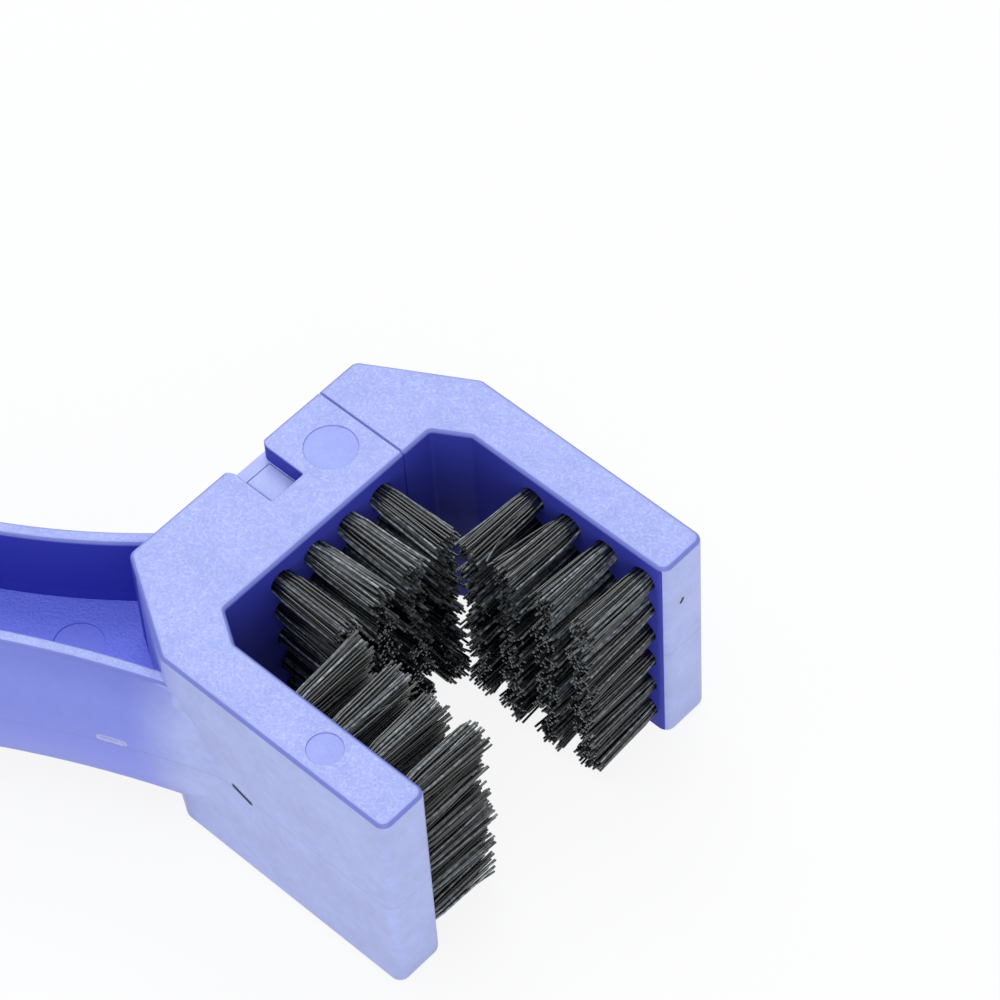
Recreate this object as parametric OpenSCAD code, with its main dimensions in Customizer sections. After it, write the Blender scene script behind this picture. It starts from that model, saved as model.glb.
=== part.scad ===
/* [Head] */
// Height of the head, which lies on its side
head_h = 40; // [38:0.5:48]
// Clear width between the inner faces of the two arms
mouth_w = 47; // [44:0.5:54]
// Thickness of each arm
arm_t = 8.5; // [7.5:0.1:10]
// Thickness of the back wall
back_t = 16.8; // [15.8:0.2:20]
// Outer corner cut, measured along the back wall
cut_w = 9.5; // [7:0.5:11]
// Outer corner cut, measured along the arm
cut_d = 16; // [12:0.5:20]
// Inner corner cut, measured along the back wall
inner_cut_w = 3.1; // [1.5:0.1:5]
// Inner corner cut, measured along the arm
inner_cut_d = 5.1; // [3:0.1:7]
// Radius of the upright outer corners
corner_r = 1.6; // [0.8:0.1:2.4]
// Radius of the upright inner corners
inner_corner_r = 0.8; // [0.4:0.1:1.2]
// Angle between the back wall and the handle's centre line
head_turn = 60; // [56:1:64]
// Distance of the back wall's middle from the handle's centre line
head_offset = 23.4; // [20:0.2:26]

/* [Handle] */
// Height of the two flanges
grip_h = 28; // [24:0.5:32]
// Width over the flange edges at the two waists
waist_w = 19.4; // [17:0.2:22]
// Width over the flange edges at the widest point of the grip
grip_w = 30; // [27:0.5:33]
// Distance from the origin to the waist next to the head
neck_l = 33; // [30:1:40]
// Radius of the grip's long curves
grip_sweep_r = 170; // [150:5:200]
// Radius of the far flange where it flares into the head
far_flare_r = 110; // [100:5:140]
// Radius of the near flange where it flares into the head
near_flare_r = 180; // [160:5:220]
// Thickness of a flange at its edges
flange_t = 2; // [1.6:0.1:2.6]
// Draft on a flange's inner face, from edge to web
flange_draft = 0.6; // [0.2:0.1:1]
// Radius of a flange's crowned outer face
crown_r = 35; // [30:1:45]
// Thickness of the web between the flanges
web_t = 2; // [1.6:0.1:3]

/* [Tail] */
// Length of the pad that carries the tail brush
pad_l = 40; // [37:1:46]
// Thickness of that pad
pad_t = 8.5; // [7.5:0.1:10]
// Length of the straight flange behind the second waist
tail_run = 24; // [20:1:30]
// Radius of the hanging hole
hang_r = 3; // [2.5:0.1:3.6]
// Distance of the hanging hole from the tail end
hang_inset = 16.5; // [15:0.5:20]
// Web left between the hanging hole and the pad
hang_wall = 1.9; // [1.2:0.1:2.4]

/* [Removable arm] */
// Distance of the seam from the back wall's middle
seam_u = 15; // [14:0.5:16.5]
// Gap left in the seam
seam_gap = 0.15; // [0.1:0.05:0.3]
// Thickness of the tongue
tongue_t = 6.5; // [5.5:0.1:6.8]
// Height of the tongue's lower edge above the underside
tongue_foot = 5; // [3:0.5:10]
// Thickness of the wall left outside the tongue
tongue_wall = 2; // [1.6:0.1:2.4]
// Clearance round the tongue
tongue_gap = 0.2; // [0.1:0.05:0.3]
// Lead-in bevel on the tongue's end
tongue_bevel = 1.2; // [0.6:0.1:1.6]
// Width of the thumb notch over the latch
notch_w = 6.2; // [5:0.2:7]
// Depth of the thumb notch down to the latch finger
notch_h = 4.2; // [3.8:0.1:4.6]
// Thickness of the latch finger
finger_t = 2; // [1.6:0.1:2.4]
// Room under the latch finger when it is pressed
finger_gap = 1.8; // [1.6:0.1:2.4]
// Length of the latch finger past the notch
finger_reach = 0.4; // [0.2:0.1:0.8]
// Height of the barb on the latch finger
barb_h = 1.1; // [0.8:0.1:1.4]
// Length of the barb's slope
barb_slope = 1.3; // [1:0.1:2]

/* [Bristles] */
// Rows of tufts, from the underside to the top
rows = 6; // [4:1:6]
// Columns of tufts on each wall
columns = 4; // [2:1:4]
// Distance between rows
row_pitch = 6.12; // [5.2:0.02:6.4]
// Distance between columns on an arm
arm_pitch = 6.9; // [6:0.1:8]
// Distance between columns on the back wall
back_pitch = 6.6; // [6:0.1:7]
// Distance between columns on the tail pad
tail_pitch = 8.4; // [7:0.1:9]
// Distance from an arm's end to its last column
end_margin = 3.9; // [3.4:0.1:5]
// Distance from the back wall's tips to an arm's first column
corner_room = 3.8; // [3.4:0.1:6]
// Length of the head's bristles outside the wall
head_bristle = 12.8; // [10:0.2:14]
// Length of the tail's bristles outside the pad
tail_bristle = 18; // [12:0.5:24]
// Radius of a tuft's blind hole
hole_r = 1.95; // [1.9:0.05:2.2]
// Depth of a tuft's blind hole
hole_l = 5; // [4.6:0.1:5.6]
// Radius of one strand
strand_r = 0.7; // [0.5:0.05:0.7]
// Outward lean of a strand, from root to tip
strand_lean = 0.45; // [0.2:0.05:0.7]
// Unevenness of the bristle ends
ragged = 0.9; // [0.2:0.1:1.5]

/* [Anchors] */
// Thickness of the flat wire
anchor_t = 0.4; // [0.3:0.05:0.6]
// Height of an anchor
anchor_l = 1.5; // [1.2:0.1:1.8]

/* [Hidden] */

// Colours
plastic_blue = [0.31, 0.33, 0.83];
nylon_black = [0.06, 0.06, 0.07];
wire_grey = [0.72, 0.70, 0.66];

// Facets: true curves, corner arcs, and the web's outline along the grip and round the nose
round_fn = 96;
corner_steps = 6;
web_steps = 24;
nose_steps = 12;

// Small lengths that several cuts and joints share
overrun = 1;
overlap = 1;
plug_gap = 0.1;
strand_gap = 0.2;
anchor_gap = 0.1;
plug_sink = 0.3;
strand_root = 1.2;
mark_depth = 0.2;
pad_step = 0.5;

// Strands in a tuft, and sides of a strand, of a tuft's root and of its hole
strands = 4;
strand_sides = 3;
plug_sides = 8;
hole_sides = 12;
root_ring_r = hole_r - strand_gap - strand_r;
tip_ring_r = root_ring_r + strand_lean;

// The head, measured from the back wall's middle: u runs along the back wall, v from its outer face
mouth_half = mouth_w / 2;
head_half = mouth_half + arm_t;
first_column = back_t + head_bristle + corner_room;
head_d = first_column + (columns - 1) * arm_pitch + end_margin;
first_row = (head_h - (rows - 1) * row_pitch) / 2;

// The thumb notch, the socket and the finger
tongue_in = tongue_wall + tongue_t;
barb_gap = 0.2;
notch_side = notch_w / 2;
notch_floor = head_h - notch_h;
notch_end = tongue_in + tongue_gap;
finger_tip = -notch_side - finger_reach;
socket_l = seam_u - finger_tip + 2 * tongue_gap;
tongue_h = notch_floor - finger_t - finger_gap - tongue_foot;

// Parts of a millimetre or a degree to which a few derived values are rounded
grid = 1000;
function to_grid(value) = round(value * grid) / grid;

// The handle's curves: the edge swells by two equal arcs from a waist to the widest point
mid_z = head_h / 2;
waist_half = waist_w / 2;
waist_x = -neck_l;
sweep_a = to_grid(acos(1 - (grip_w - waist_w) / (4 * grip_sweep_r)));
swell_h = 2 * grip_sweep_r * (1 - cos(sweep_a));
swell_run = 2 * grip_sweep_r * sin(sweep_a);
widest_x = waist_x - swell_run;
second_waist_x = widest_x - swell_run;
crown_in = sqrt(crown_r * crown_r - grip_h * grip_h / 4);
crown_out = crown_r - crown_in;

// Where the flanges end: the far one inside the back wall, the near one inside the arm
back_bite_share = 0.35;
arm_bite_share = 0.5;
web_end = 2;
far_level = waist_half + far_flare_r - head_offset;
far_reach = neck_l * sin(head_turn) + far_level * cos(head_turn) + back_t * back_bite_share;
far_sweep = head_turn - acos(far_reach / far_flare_r);
near_level = waist_half + near_flare_r + head_offset;
near_reach = neck_l * cos(head_turn) + near_level * sin(head_turn) - mouth_half - arm_t * arm_bite_share;
near_sweep = asin(near_reach / near_flare_r) - head_turn;

// The tail: the far flange turns round the end and meets the pad
nose_x = second_waist_x - tail_run;
pad_face = waist_half + crown_out + pad_step;
pad_mid = pad_face - pad_t / 2;
nose_r = to_grid(waist_half + pad_mid);
tail_x = nose_x - nose_r - crown_out - pad_step;
hang_x = tail_x + hang_inset;
hang_y = pad_t - pad_face + hang_wall + hang_r;

// Ejector marks: radius, and place on the web, the back wall and the near arm
web_mark_r = 3.75;
web_mark_x = -19.5;
back_mark_r = 3.9;
arm_mark_r = 2.55;
arm_mark_v = 43.1;

// The head's own frame, turned against the handle
module in_head() {
    translate([0, head_offset, 0])
        rotate([0, 0, head_turn])
            children();
}

// A corner of an outline given as [x, y, radius], as a short arc
function corner(a, p, b, steps) =
    let (
        to_a = [a[0] - p[0], a[1] - p[1]] / norm([a[0] - p[0], a[1] - p[1]]),
        to_b = [b[0] - p[0], b[1] - p[1]] / norm([b[0] - p[0], b[1] - p[1]]),
        half = acos(to_a * to_b) / 2,
        middle = (to_a + to_b) / norm(to_a + to_b),
        centre = [p[0], p[1]] + middle * p[2] / sin(half),
        out = -middle,
        turn = 90 - half,
        side = sign(to_a[0] * to_b[1] - to_a[1] * to_b[0])
    )
    p[2] == 0 ? [[p[0], p[1]]] :
    [for (i = [0:steps])
        let (t = side * turn * (1 - 2 * i / steps))
        centre + p[2] * [out[0] * cos(t) - out[1] * sin(t), out[0] * sin(t) + out[1] * cos(t)]];

function rounded(points) =
    let (n = len(points))
    [for (i = [0:n - 1])
        each corner(points[(i + n - 1) % n], points[i], points[(i + 1) % n], corner_steps)];

// One half of the C, from the given seam to the arm's end; side is -1 for the near arm
module head_half_block(side, seam) {
    r = corner_r;
    q = inner_corner_r;
    linear_extrude(head_h)
        polygon(rounded([
            [side * seam, 0, 0],
            [side * (head_half - cut_w), 0, r],
            [side * head_half, -cut_d, r],
            [side * head_half, -head_d, r],
            [side * mouth_half, -head_d, r],
            [side * mouth_half, -back_t - inner_cut_d, q],
            [side * (mouth_half - inner_cut_w), -back_t, q],
            [side * seam, -back_t, 0]
        ]));
}

// A flange's cross-section: x is the distance outward from its edge, y the height from the middle
module flange_section() {
    intersection() {
        translate([-crown_in, 0])
            circle(r = crown_r, $fn = round_fn);
        polygon([
            [-flange_t, grip_h / 2],
            [crown_r, grip_h / 2],
            [crown_r, -grip_h / 2],
            [-flange_t, -grip_h / 2],
            [-flange_t - flange_draft, 0]
        ]);
    }
}

// A place given in two steps, first on the grid and then the rest, so that stretches that meet do so closely
module at_place(x, y) {
    translate([to_grid(x), to_grid(y), 0])
        translate([x - to_grid(x), y - to_grid(y), 0])
            children();
}

// A stretch of flange from its waist towards +X, round a centre outside the handle
module hollow_arc(x, r, sweep) {
    at_place(x, waist_half + r)
        translate([0, 0, mid_z])
            rotate([0, 0, -90])
                rotate_extrude(angle = sweep, $fn = round_fn)
                    translate([r, 0])
                        mirror([1, 0])
                            flange_section();
}

// A stretch of flange from its widest point towards -X, round a centre inside the handle
module full_arc(x, y, r, sweep) {
    at_place(x, y)
        translate([0, 0, mid_z])
            rotate([0, 0, 90])
                rotate_extrude(angle = sweep, $fn = round_fn)
                    translate([r, 0])
                        flange_section();
}

// One flange from the widest point, which lies at x = 0 here, to the waist on the -X side
module half_swell() {
    full_arc(0, waist_half + swell_h - grip_sweep_r, grip_sweep_r, sweep_a);
    hollow_arc(-swell_run, grip_sweep_r, sweep_a);
}

// A whole flange on the far side, from the head round both halves of the swell to the tail
module flange(flare_r, flare_sweep) {
    hollow_arc(waist_x, flare_r, flare_sweep);
    at_place(widest_x, 0) {
        half_swell();
        mirror([1, 0, 0])
            half_swell();
    }
    at_place(nose_x, waist_half)
        translate([0, 0, mid_z])
            rotate([90, 0, 90])
                linear_extrude(tail_run)
                    flange_section();
}

// Half width over the flange edges at x
function swell(d) =
    d > swell_run / 2 ? swell_h - swell(swell_run - d) :
    grip_sweep_r - sqrt(grip_sweep_r * grip_sweep_r - d * d);
function half_width(x, flare_r) =
    x > waist_x ? waist_half + flare_r - sqrt(flare_r * flare_r - (x - waist_x) * (x - waist_x)) :
    x < second_waist_x ? waist_half :
    waist_half + swell(swell_run - abs(x - widest_x));

// The web, which runs half way into both flanges; its corners lie between the flanges' own joins
module web() {
    inset = flange_t / 2;
    step_x = (web_end - second_waist_x) / web_steps;
    far_side = [for (i = [0:web_steps - 1])
        let (x = web_end - (2 * i + 1) * step_x / 2)
        [x, half_width(x, far_flare_r) - inset]];
    nose = [for (i = [0:nose_steps - 1])
        let (a = 90 + 90 * (2 * i + 1) / (2 * nose_steps))
        [nose_x + (nose_r - inset) * cos(a), waist_half - nose_r + (nose_r - inset) * sin(a)]];
    near_side = [for (i = [0:web_steps - 1])
        let (x = second_waist_x + (2 * i + 1) * step_x / 2)
        [x, -half_width(x, near_flare_r) + inset]];
    translate([0, 0, mid_z - web_t / 2])
        linear_extrude(web_t)
            polygon(concat(far_side, nose, near_side));
}

module tail_pad() {
    translate([tail_x, -pad_face, 0])
        cube([pad_l, pad_t, head_h]);
}

module handle() {
    flange(far_flare_r, far_sweep);
    full_arc(nose_x, waist_half - nose_r, nose_r, 90);
    mirror([0, 1, 0])
        flange(near_flare_r, near_sweep);
    web();
}

// Places of the tufts: each has its z axis out of the wall
function arm_column_v(i) = first_column + (i - 1) * arm_pitch;
function back_column_u(i) = (i - 1 - (columns - 1) / 2) * back_pitch;
function tail_column_x(i) = tail_x + pad_l / 2 + (i - 1 - (columns - 1) / 2) * tail_pitch;

module at_rows() {
    for (i = [0:rows - 1])
        translate([0, 0, first_row + i * row_pitch])
            children();
}

module near_arm_spots(i) {
    in_head()
        at_rows()
            translate([-mouth_half, -arm_column_v(i), 0])
                rotate([0, 90, 0])
                    children();
}

module far_arm_spots(i) {
    in_head()
        at_rows()
            translate([mouth_half, -arm_column_v(i), 0])
                rotate([0, -90, 0])
                    children();
}

module back_wall_spots(i) {
    in_head()
        at_rows()
            translate([back_column_u(i), -back_t, 0])
                rotate([90, 0, 0])
                    children();
}

module tail_spots(i) {
    at_rows()
        translate([tail_column_x(i), -pad_face, 0])
            rotate([90, 0, 0])
                children();
}

module tuft_hole() {
    translate([0, 0, -hole_l])
        cylinder(r = hole_r, h = hole_l + overrun, $fn = hole_sides);
}

// One strand: a three-sided bar between two points, closed by flat ends
module strand(foot, tip, r) {
    n = strand_sides;
    ring = [for (k = [0:n - 1]) r * [cos(360 * k / n), sin(360 * k / n), 0]];
    sides = [for (k = [0:n - 1])
        let (m = (k + 1) % n)
        each [[k, n + k, n + m], [k, n + m, m]]];
    polyhedron(
        points = concat([for (p = ring) foot + p], [for (p = ring) tip + p]),
        faces = concat([[0, 1, 2], [5, 4, 3]], sides)
    );
}

// A tuft: its root fills the hole down to the anchor, and its strands spread a little
module tuft(l, turn) {
    plug_l = hole_l - anchor_l - 2 * anchor_gap - plug_sink;
    rotate([0, 0, turn]) {
        translate([0, 0, -plug_sink - plug_l])
            cylinder(r = hole_r - plug_gap, h = plug_l, $fn = plug_sides);
        for (k = [0:strands - 1]) {
            a = 360 * k / strands;
            short = ragged * ((2 * k) % strands) / strands;
            strand(
                [root_ring_r * cos(a), root_ring_r * sin(a), -plug_sink - strand_root],
                [tip_ring_r * cos(a), tip_ring_r * sin(a), l - short],
                strand_r
            );
        }
    }
}

// The flat wire that pins a tuft to the bottom of its hole
module anchor() {
    width = 2 * (hole_r - anchor_gap);
    translate([-width / 2, -anchor_t / 2, -hole_l + anchor_gap])
        cube([width, anchor_t, anchor_l]);
}

// The socket for the tongue and the finger, open at the seam
module socket() {
    low = tongue_foot - tongue_gap;
    translate([seam_u - socket_l, -tongue_in - tongue_gap, low])
        cube([socket_l + overrun, tongue_t + 2 * tongue_gap, notch_floor + tongue_gap - low]);
}

// The thumb notch, open at the top and at the back, and the window in its floor that the barb fills
module thumb_notch() {
    translate([-notch_side, -notch_end, notch_floor + barb_h])
        cube([notch_w, notch_end + overrun, notch_h]);
    translate([-notch_side, -notch_end, notch_floor])
        cube([notch_w, tongue_t + 2 * tongue_gap, notch_h]);
}

module ejector_marks() {
    in_head() {
        translate([(seam_u + notch_side) / 2, -back_t / 2, head_h - mark_depth])
            cylinder(r = back_mark_r, h = overrun, $fn = round_fn);
        translate([-mouth_half - arm_t / 2, -arm_mark_v, head_h - mark_depth])
            cylinder(r = arm_mark_r, h = overrun, $fn = round_fn);
    }
    translate([web_mark_x, 0, mid_z + web_t / 2 - mark_depth])
        cylinder(r = web_mark_r, h = overrun, $fn = round_fn);
}

module handle_body() {
    color(plastic_blue)
        difference() {
            union() {
                in_head() {
                    head_half_block(-1, 0);
                    translate([0, -back_t, 0])
                        cube([seam_u, back_t, head_h]);
                }
                handle();
                tail_pad();
            }
            in_head() {
                socket();
                thumb_notch();
            }
            ejector_marks();
            for (i = [1:columns]) {
                near_arm_spots(i) tuft_hole();
                back_wall_spots(i) tuft_hole();
                tail_spots(i) tuft_hole();
            }
            translate([hang_x, hang_y, 0])
                cylinder(r = hang_r, h = head_h, $fn = round_fn);
        }
}

// The tongue's outline, with its bevelled end
module tongue() {
    out = -tongue_wall;
    in = -tongue_in;
    b = tongue_bevel;
    translate([0, 0, tongue_foot])
        linear_extrude(tongue_h)
            polygon([
                [seam_u + overlap, out],
                [finger_tip + b, out],
                [finger_tip, out - b],
                [finger_tip, in + b],
                [finger_tip + b, in],
                [seam_u + overlap, in]
            ]);
}

module removable_arm() {
    color(plastic_blue)
        difference() {
            in_head() {
                head_half_block(1, seam_u + seam_gap);
                tongue();
            }
            for (i = [1:columns])
                far_arm_spots(i) tuft_hole();
        }
}

// The springy finger over the tongue; its barb fills the window and catches the window's edge
module latch_finger() {
    top = notch_floor;
    barb_u = notch_side - barb_gap;
    color(plastic_blue)
        in_head()
            translate([0, -tongue_wall, 0])
                rotate([90, 0, 0])
                    linear_extrude(tongue_t)
                        polygon([
                            [finger_tip, top - finger_t],
                            [seam_u + seam_gap, top - finger_t],
                            [seam_u + seam_gap, top],
                            [barb_u, top],
                            [barb_u, top + barb_h],
                            [barb_slope - barb_u, top + barb_h],
                            [-barb_u, top],
                            [finger_tip, top]
                        ]);
}

module near_arm_tufts(i) {
    color(nylon_black)
        near_arm_spots(i)
            tuft(head_bristle, 31 * i);
}

module back_wall_tufts(i) {
    color(nylon_black)
        back_wall_spots(i)
            tuft(head_bristle, 47 * i);
}

module far_arm_tufts(i) {
    color(nylon_black)
        far_arm_spots(i)
            tuft(head_bristle, 31 * i + 15);
}

module tail_tufts(i) {
    color(nylon_black)
        tail_spots(i)
            tuft(tail_bristle, 25 * i);
}

module near_arm_anchors() {
    color(wire_grey)
        for (i = [1:columns])
            near_arm_spots(i) anchor();
}

module back_wall_anchors() {
    color(wire_grey)
        for (i = [1:columns])
            back_wall_spots(i) anchor();
}

module far_arm_anchors() {
    color(wire_grey)
        for (i = [1:columns])
            far_arm_spots(i) anchor();
}

module tail_anchors() {
    color(wire_grey)
        for (i = [1:columns])
            tail_spots(i) anchor();
}

handle_body();
removable_arm();
latch_finger();
near_arm_tufts(1);  // near_arm_tufts_1
near_arm_tufts(2);  // near_arm_tufts_2
near_arm_tufts(3);  // near_arm_tufts_3
near_arm_tufts(4);  // near_arm_tufts_4
back_wall_tufts(1);  // back_wall_tufts_1
back_wall_tufts(2);  // back_wall_tufts_2
back_wall_tufts(3);  // back_wall_tufts_3
back_wall_tufts(4);  // back_wall_tufts_4
far_arm_tufts(1);  // far_arm_tufts_1
far_arm_tufts(2);  // far_arm_tufts_2
far_arm_tufts(3);  // far_arm_tufts_3
far_arm_tufts(4);  // far_arm_tufts_4
tail_tufts(1);  // tail_tufts_1
tail_tufts(2);  // tail_tufts_2
tail_tufts(3);  // tail_tufts_3
tail_tufts(4);  // tail_tufts_4
near_arm_anchors();
back_wall_anchors();
far_arm_anchors();
tail_anchors();
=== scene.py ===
"""Dresses the solids of a bike chain cleaner: mouldings, filament tufts, finishes and a plain stage."""

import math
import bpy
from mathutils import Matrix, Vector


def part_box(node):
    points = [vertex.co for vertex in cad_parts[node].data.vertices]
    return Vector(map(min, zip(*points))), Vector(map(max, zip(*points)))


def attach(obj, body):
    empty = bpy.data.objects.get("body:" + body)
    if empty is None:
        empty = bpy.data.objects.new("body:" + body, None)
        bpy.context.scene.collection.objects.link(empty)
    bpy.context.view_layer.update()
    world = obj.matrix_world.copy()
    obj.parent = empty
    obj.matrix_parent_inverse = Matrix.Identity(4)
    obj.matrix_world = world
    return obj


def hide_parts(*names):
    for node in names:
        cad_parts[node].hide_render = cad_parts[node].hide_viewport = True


bl_info = {
    "name": "Bike Chain Cleaner",
    "version": (1, 0, 0),
    "blender": (4, 5, 0),
    "location": "View3D > Sidebar > Chain Cleaner",
    "description": "Rounded mouldings, filament tufts and finishes for a bike chain cleaner",
    "category": "Object",
}

import bmesh
import bpy
from bpy.props import FloatProperty, FloatVectorProperty, IntProperty, PointerProperty
from mathutils import Matrix, Vector

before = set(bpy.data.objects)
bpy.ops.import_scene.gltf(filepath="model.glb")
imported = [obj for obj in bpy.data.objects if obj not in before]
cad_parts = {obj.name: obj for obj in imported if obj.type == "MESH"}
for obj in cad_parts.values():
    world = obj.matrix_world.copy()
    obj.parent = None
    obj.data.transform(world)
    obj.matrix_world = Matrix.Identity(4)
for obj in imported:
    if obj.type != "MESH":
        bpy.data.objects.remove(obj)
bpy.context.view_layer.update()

MM = 0.001

# The head: a C-shaped block whose back wall stands at an angle to the handle
HEAD_TURN = math.radians(60)
HEAD_OFFSET = 23.4 * MM
HEAD_HEIGHT = 40 * MM
HEAD_DEPTH = 58 * MM
MOUTH_HALF = 23.5 * MM
ARM_THICKNESS = 8.5 * MM
BACK_THICKNESS = 16.8 * MM
OUTER_CUT = (9.5 * MM, 16 * MM)
INNER_CUT = (3.1 * MM, 5.1 * MM)
OUTER_CORNER = 1.6 * MM
INNER_CORNER = 0.8 * MM
SEAM_ROUND = 0.2 * MM

# The handle: two flanges that swell between two waists, joined by a web
GRIP_HEIGHT = 28 * MM
WAIST_HALF = 9.7 * MM
GRIP_HALF = 15 * MM
NECK = 33 * MM
SWELL_RADIUS = 170 * MM
FAR_FLARE = (110 * MM, math.radians(18.7))
NEAR_FLARE = (180 * MM, math.radians(14.3))
FLANGE_THICKNESS = 2 * MM
FLANGE_DRAFT = 0.6 * MM
FLANGE_CORNER = 0.8 * MM
CROWN_RADIUS = 35 * MM
CROWN_SHARE = 0.92
WEB_THICKNESS = 2 * MM
WEB_END = 2 * MM

# The tail: the far flange turns round its end into the pad of the tail brush
PAD_LENGTH = 40 * MM
PAD_THICKNESS = 8.5 * MM
PAD_STEP = 0.5 * MM
PAD_ROUND_SHARE = 0.8
TAIL_RUN = 24 * MM

# The slide-off arm's tongue and its socket, and the notch over the latch: from, to in the head's frame
SEAM = 15 * MM
SEAM_GAP = 0.15 * MM
TONGUE = (Vector((-3.5, -8.5, 5.0)) * MM, Vector((17.0, -2.0, 32.0)) * MM)
TONGUE_BEVEL = 1.2 * MM
TONGUE_RIM = 0.3 * MM
SOCKET = (Vector((-3.9, -8.7, 4.8)) * MM, Vector((17.0, -1.8, 36.0)) * MM)
NOTCH_HALF = 3.1 * MM
NOTCH_END = 8.7 * MM
NOTCH_FLOOR = 36.9 * MM
NOTCH_FLARE = 1.8 * MM
NOTCH_CORNER = 0.2 * MM
NOTCH_RIM = 0.25 * MM
WINDOW = (Vector((-2.93, -8.53, 35.8)) * MM, Vector((2.93, -1.97, 36.95)) * MM)

# The tufts: blind holes in rows and columns on three walls of the head and on the tail pad
ROWS = 6
COLUMNS = 4
ROW_PITCH = 6.12 * MM
ARM_PITCH = 6.9 * MM
BACK_PITCH = 6.6 * MM
TAIL_PITCH = 8.4 * MM
FIRST_ARM_COLUMN = 33.4 * MM
HOLE_RADIUS = 1.95 * MM
HOLE_DEPTH = 5 * MM
HOLE_FLARE = 0.15 * MM
HOLE_SIDES = 24
ANCHOR_CLEARANCE = 0.1 * MM
ANCHOR_HEIGHT = 1.5 * MM

# Marks left by the mould's ejector pins, and the hanging hole: place and radius in plan
BACK_MARK = (9.05 * MM, -8.4 * MM, 3.9 * MM)
ARM_MARK = (-27.75 * MM, -43.1 * MM, 2.55 * MM)
WEB_MARK = (-19.5 * MM, 0.0, 3.75 * MM)
HANG_HOLE = (-182.09 * MM, 0.28 * MM, 3.0 * MM)
WEB_TOP = 21 * MM
MARK_DEPTH = 0.2 * MM
MARK_FLARE = 0.1 * MM
HANG_FLARE = 0.3 * MM
MARK_SIDES = 72

# The gate mark on the near flange, the near arm's nick, the far arm's speck: middle, direction, half length
GATE = (Vector((-10.9, -14.0, 19.8)) * MM, Vector((1.0, -0.12, 0.0)), 1.7 * MM)
NICK = (Vector((9.28, -18.91, 19.5)) * MM, Vector((0.8660254, -0.5, -0.4)), 1.6 * MM)
SPECK = (Vector((63.75, 17.83, 30.0)) * MM, Vector((0.3, 0.5, 0.8)), 0.25 * MM)

# How edges are found and shaded
WELD = 1e-6
FLAT_ANGLE = math.radians(0.3)
EDGE_ANGLE = math.radians(28)
SMOOTH_ANGLE = math.radians(33)

# Steps along rounded corners and rims, the flanges' arcs and the web's edge
CORNER_STEPS = 8
RIM_STEPS = 4
FLARE_STEPS = 14
SWELL_STEPS = 10
NOSE_STEPS = 20
CROWN_STEPS = 14
WEB_STEPS = 48
WEB_NOSE_STEPS = 12

# How far a cutter reaches past a face, and the least that it stands off one
BEYOND = 2 * MM
CLEAR = 0.02 * MM

# Where the plastic's blues part, between painted shade, painted sheen and the web's clear blue: margin in
# the mouth, end of the grip's hollow, end and top of the web
MASK_MARGIN = 0.3 * MM
GRIP_END = -8 * MM
WEB_END_MASK = -5 * MM
WEB_MASK_TOP = 23 * MM

# The notch's walls, which are painted in shade, in the head's frame: half width, inner end and outer end
NOTCH_MASK = (6 * MM, -11 * MM, -0.6 * MM)

# The parting line: where it climbs from the handle to the head, its two heights and half its width
LINE_CLIMB = (-24 * MM, 4 * MM)
LINE_HEIGHTS = (18.3 * MM, 19.4 * MM)
LINE_HALF_WIDTH = 0.16 * MM

# Widths over which the scars fade: the gate's ring and its hollow, the nick and the speck
GATE_WIDTH = 0.95 * MM
GATE_HOLLOW = 0.55 * MM
NICK_WIDTH = 0.62 * MM
SPECK_WIDTH = 0.4 * MM
MARK_SOFTNESS = 0.25 * MM

# Sizes of the blotches in the plastic, the gate's mark, the painted highlight streaks on the nylon and the
# streaks in the wire
CLOUD_SIZE = 8 * MM
MOTTLE_SIZE = 1.4 * MM
TORN_SIZE = 0.7 * MM
STREAK_SIZE = 0.8 * MM
WIRE_STREAK_SIZE = 0.25 * MM

# Where the painted shade of the handle's sides, a deeper clear blue, fades from the handle to the head, and
# where the grain fades above the notch's floor
HANDLE_SHADE_FADE = (-9 * MM, 2 * MM)
FLOOR_FADE = (0.1 * MM, 0.4 * MM)

# Points along a filament, its sides, and the angle between one filament of a tuft and the next
FILAMENT_POINTS = 9
FILAMENT_SIDES = 6
GOLDEN_ANGLE = math.pi * (3 - math.sqrt(5))

# The draw above which a filament strays, how much further it wanders, and how much of that it bows
STRAY_FROM = 0.965
STRAY_FACTOR = 5.0
BOW_SHARE = 0.4

# How deep filaments stand in their holes, where a tuft widens, and how far apart the walls' seeds are
ROOT_DEPTH = 1.0 * MM
FLARE_START = 0.4 * MM
FLARE_RUN = 2.8 * MM
SEED_STEP = 100

# The camera's place and aim, found from the head's corners in the photograph
CAMERA_PLACE = Vector((138.9, -331.4, 531.8)) * MM
CAMERA_AIM = Vector((33.0, 37.04, 20.0)) * MM
CAMERA_ROLL = math.radians(-3.9)
CAMERA_LENS = 159.64
CAMERA_SENSOR = 36.0

# Each lamp: name, the setting of its power, what it is aimed at, how far it stands from that, and width
LAMPS = (
    ("key_lamp", "key_power", CAMERA_AIM, Vector((-0.15, 0.54, 0.83)), 0.64),
    ("fill_lamp", "fill_power", CAMERA_AIM, Vector((0.35, -0.8, 0.35)), 1.0),
    ("grip_lamp", "grip_power", Vector((-0.07, 0.0, 0.02)), Vector((-0.05, -0.05, 0.5)), 0.3),
)

# The floor's white for the camera, and its share there; the rest takes light and shadow
WHITE = (1.0, 1.0, 1.0, 1.0)
BACKGROUND_SHARE = 0.88


def head_matrix():
    """The head's own frame: x along the back wall, y out of its back, turned against the handle."""
    return Matrix.Translation((0, HEAD_OFFSET, 0)) @ Matrix.Rotation(HEAD_TURN, 4, "Z")


def wall_matrix(base, centre, outward):
    """A frame on a wall: x along its columns, y up its rows, z out of it."""
    out = Vector(outward)
    up = Vector((0, 0, 1))
    along = up.cross(out)
    turn = Matrix((along, up, out)).transposed().to_4x4()
    return base @ Matrix.Translation(centre) @ turn


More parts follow.
